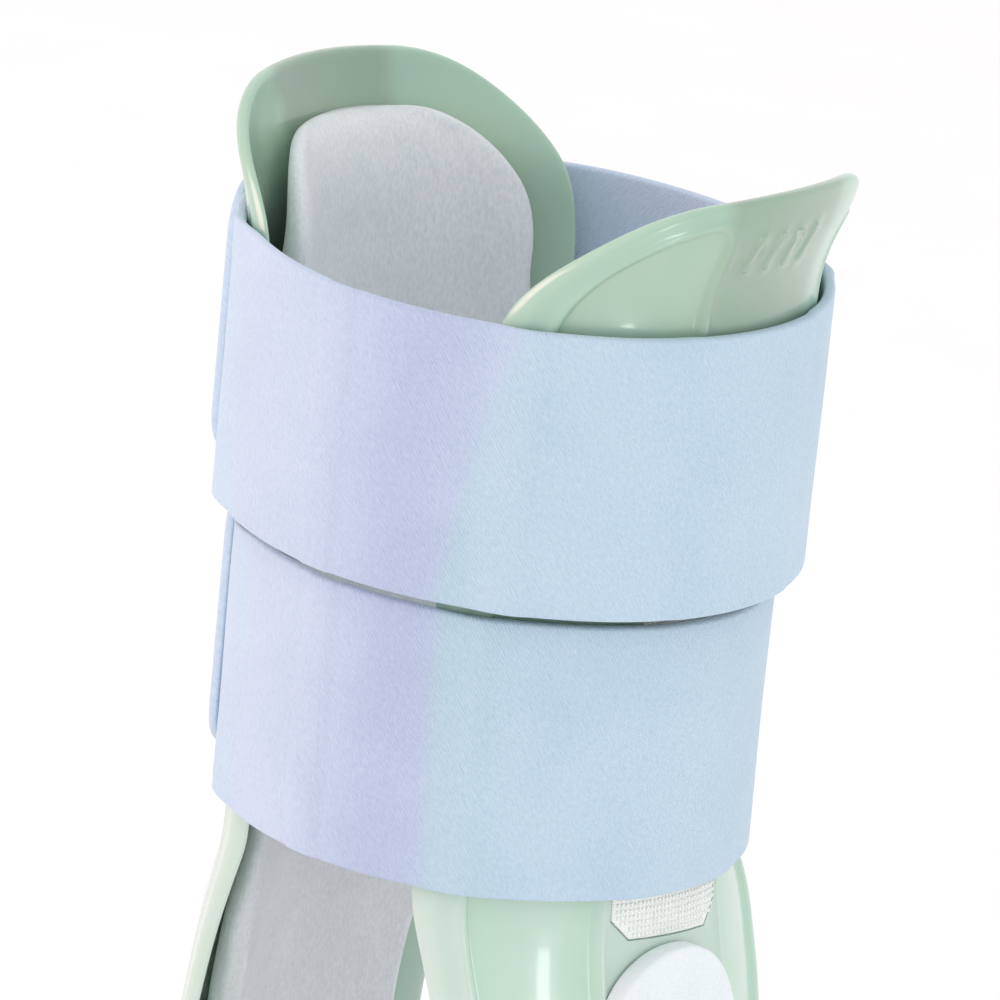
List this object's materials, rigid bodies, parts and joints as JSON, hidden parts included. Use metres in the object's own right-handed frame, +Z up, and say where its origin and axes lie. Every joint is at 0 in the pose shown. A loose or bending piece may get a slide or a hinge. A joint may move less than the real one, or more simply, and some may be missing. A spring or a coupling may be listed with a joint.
{
  "type": "ankle foot orthosis",
  "caption": "Stirrup-style ankle foot orthosis: contoured side shells with padded liners, joined under the heel by a strap and closed round the leg by wide hook-and-loop straps.",
  "frame": {"origin": "centre of the underside of the heel strap, which is what the orthosis rests on when it stands empty", "axes": "+Z up along the leg, +X towards the medial side of the ankle (the inside of a right leg), -Y towards the toes"},
  "size_m": [0.1084, 0.1102, 0.2494],
  "materials": {
    "shell_plastic": "glossy, slightly translucent pale green white moulded plastic",
    "hook_tape": "white moulded hooks on woven tape",
    "loop_fabric": "white napped loop fabric",
    "heel_laminate": "matte white foam laminate with a napped face",
    "liner_foam": "soft open foam",
    "liner_cover": "smooth white lining fabric"
  },
  "bodies": {
    "heel_base": {"heel_strap_sole": "heel_laminate", "heel_pad": "heel_laminate"},
    "medial_side": {"medial_shell": "shell_plastic", "medial_hook_strip": "hook_tape", "medial_heel_hook_patch": "hook_tape", "medial_heel_riser": "heel_laminate", "medial_liner_foam": "liner_foam", "medial_liner_cover": "liner_cover", "medial_liner_hook_dots": "hook_tape"},
    "lateral_side": {"lateral_shell": "shell_plastic", "lateral_hook_strip": "hook_tape", "lateral_heel_hook_patch": "hook_tape", "lateral_heel_riser": "heel_laminate", "lateral_liner_foam": "liner_foam", "lateral_liner_cover": "liner_cover", "lateral_liner_hook_dots": "hook_tape", "upper_strap": "loop_fabric", "lower_strap": "loop_fabric"},
    "upper_tab": {"upper_strap_tab": "loop_fabric", "upper_tab_hook_pad": "hook_tape"},
    "lower_tab": {"lower_strap_tab": "loop_fabric", "lower_tab_hook_pad": "hook_tape"},
    "medial_heel_end": {"medial_heel_tab": "heel_laminate"},
    "lateral_heel_end": {"lateral_heel_tab": "heel_laminate"}
  },
  "joints": [
    {"name": "medial_fold", "type": "hinge", "parent": "heel_base", "child": "medial_side", "pos_m": [0.0385, 0, 0], "axis": [0, 1, 0], "range_deg": [-2, 6], "deforming": ["upper_strap", "lower_strap"]},
    {"name": "lateral_fold", "type": "hinge", "parent": "heel_base", "child": "lateral_side", "pos_m": [-0.0385, 0, 0], "axis": [0, -1, 0], "range_deg": [-2, 6], "deforming": ["upper_strap", "lower_strap"]},
    {"name": "upper_tab_peel", "type": "hinge", "parent": "lateral_side", "child": "upper_tab", "pos_m": [-0.05437, 0.002, 0.202], "axis": [0, 0, -1], "range_deg": [0, 110]},
    {"name": "lower_tab_peel", "type": "hinge", "parent": "lateral_side", "child": "lower_tab", "pos_m": [-0.04917, 0.002, 0.148], "axis": [0, 0, -1], "range_deg": [0, 110]},
    {"name": "medial_heel_tab_peel", "type": "hinge", "parent": "medial_side", "child": "medial_heel_end", "pos_m": [0.0515, 0, 0.092], "axis": [0, 1, 0], "range_deg": [0, 70]},
    {"name": "lateral_heel_tab_peel", "type": "hinge", "parent": "lateral_side", "child": "lateral_heel_end", "pos_m": [-0.0515, 0, 0.092], "axis": [0, -1, 0], "range_deg": [0, 70]}
  ]
}
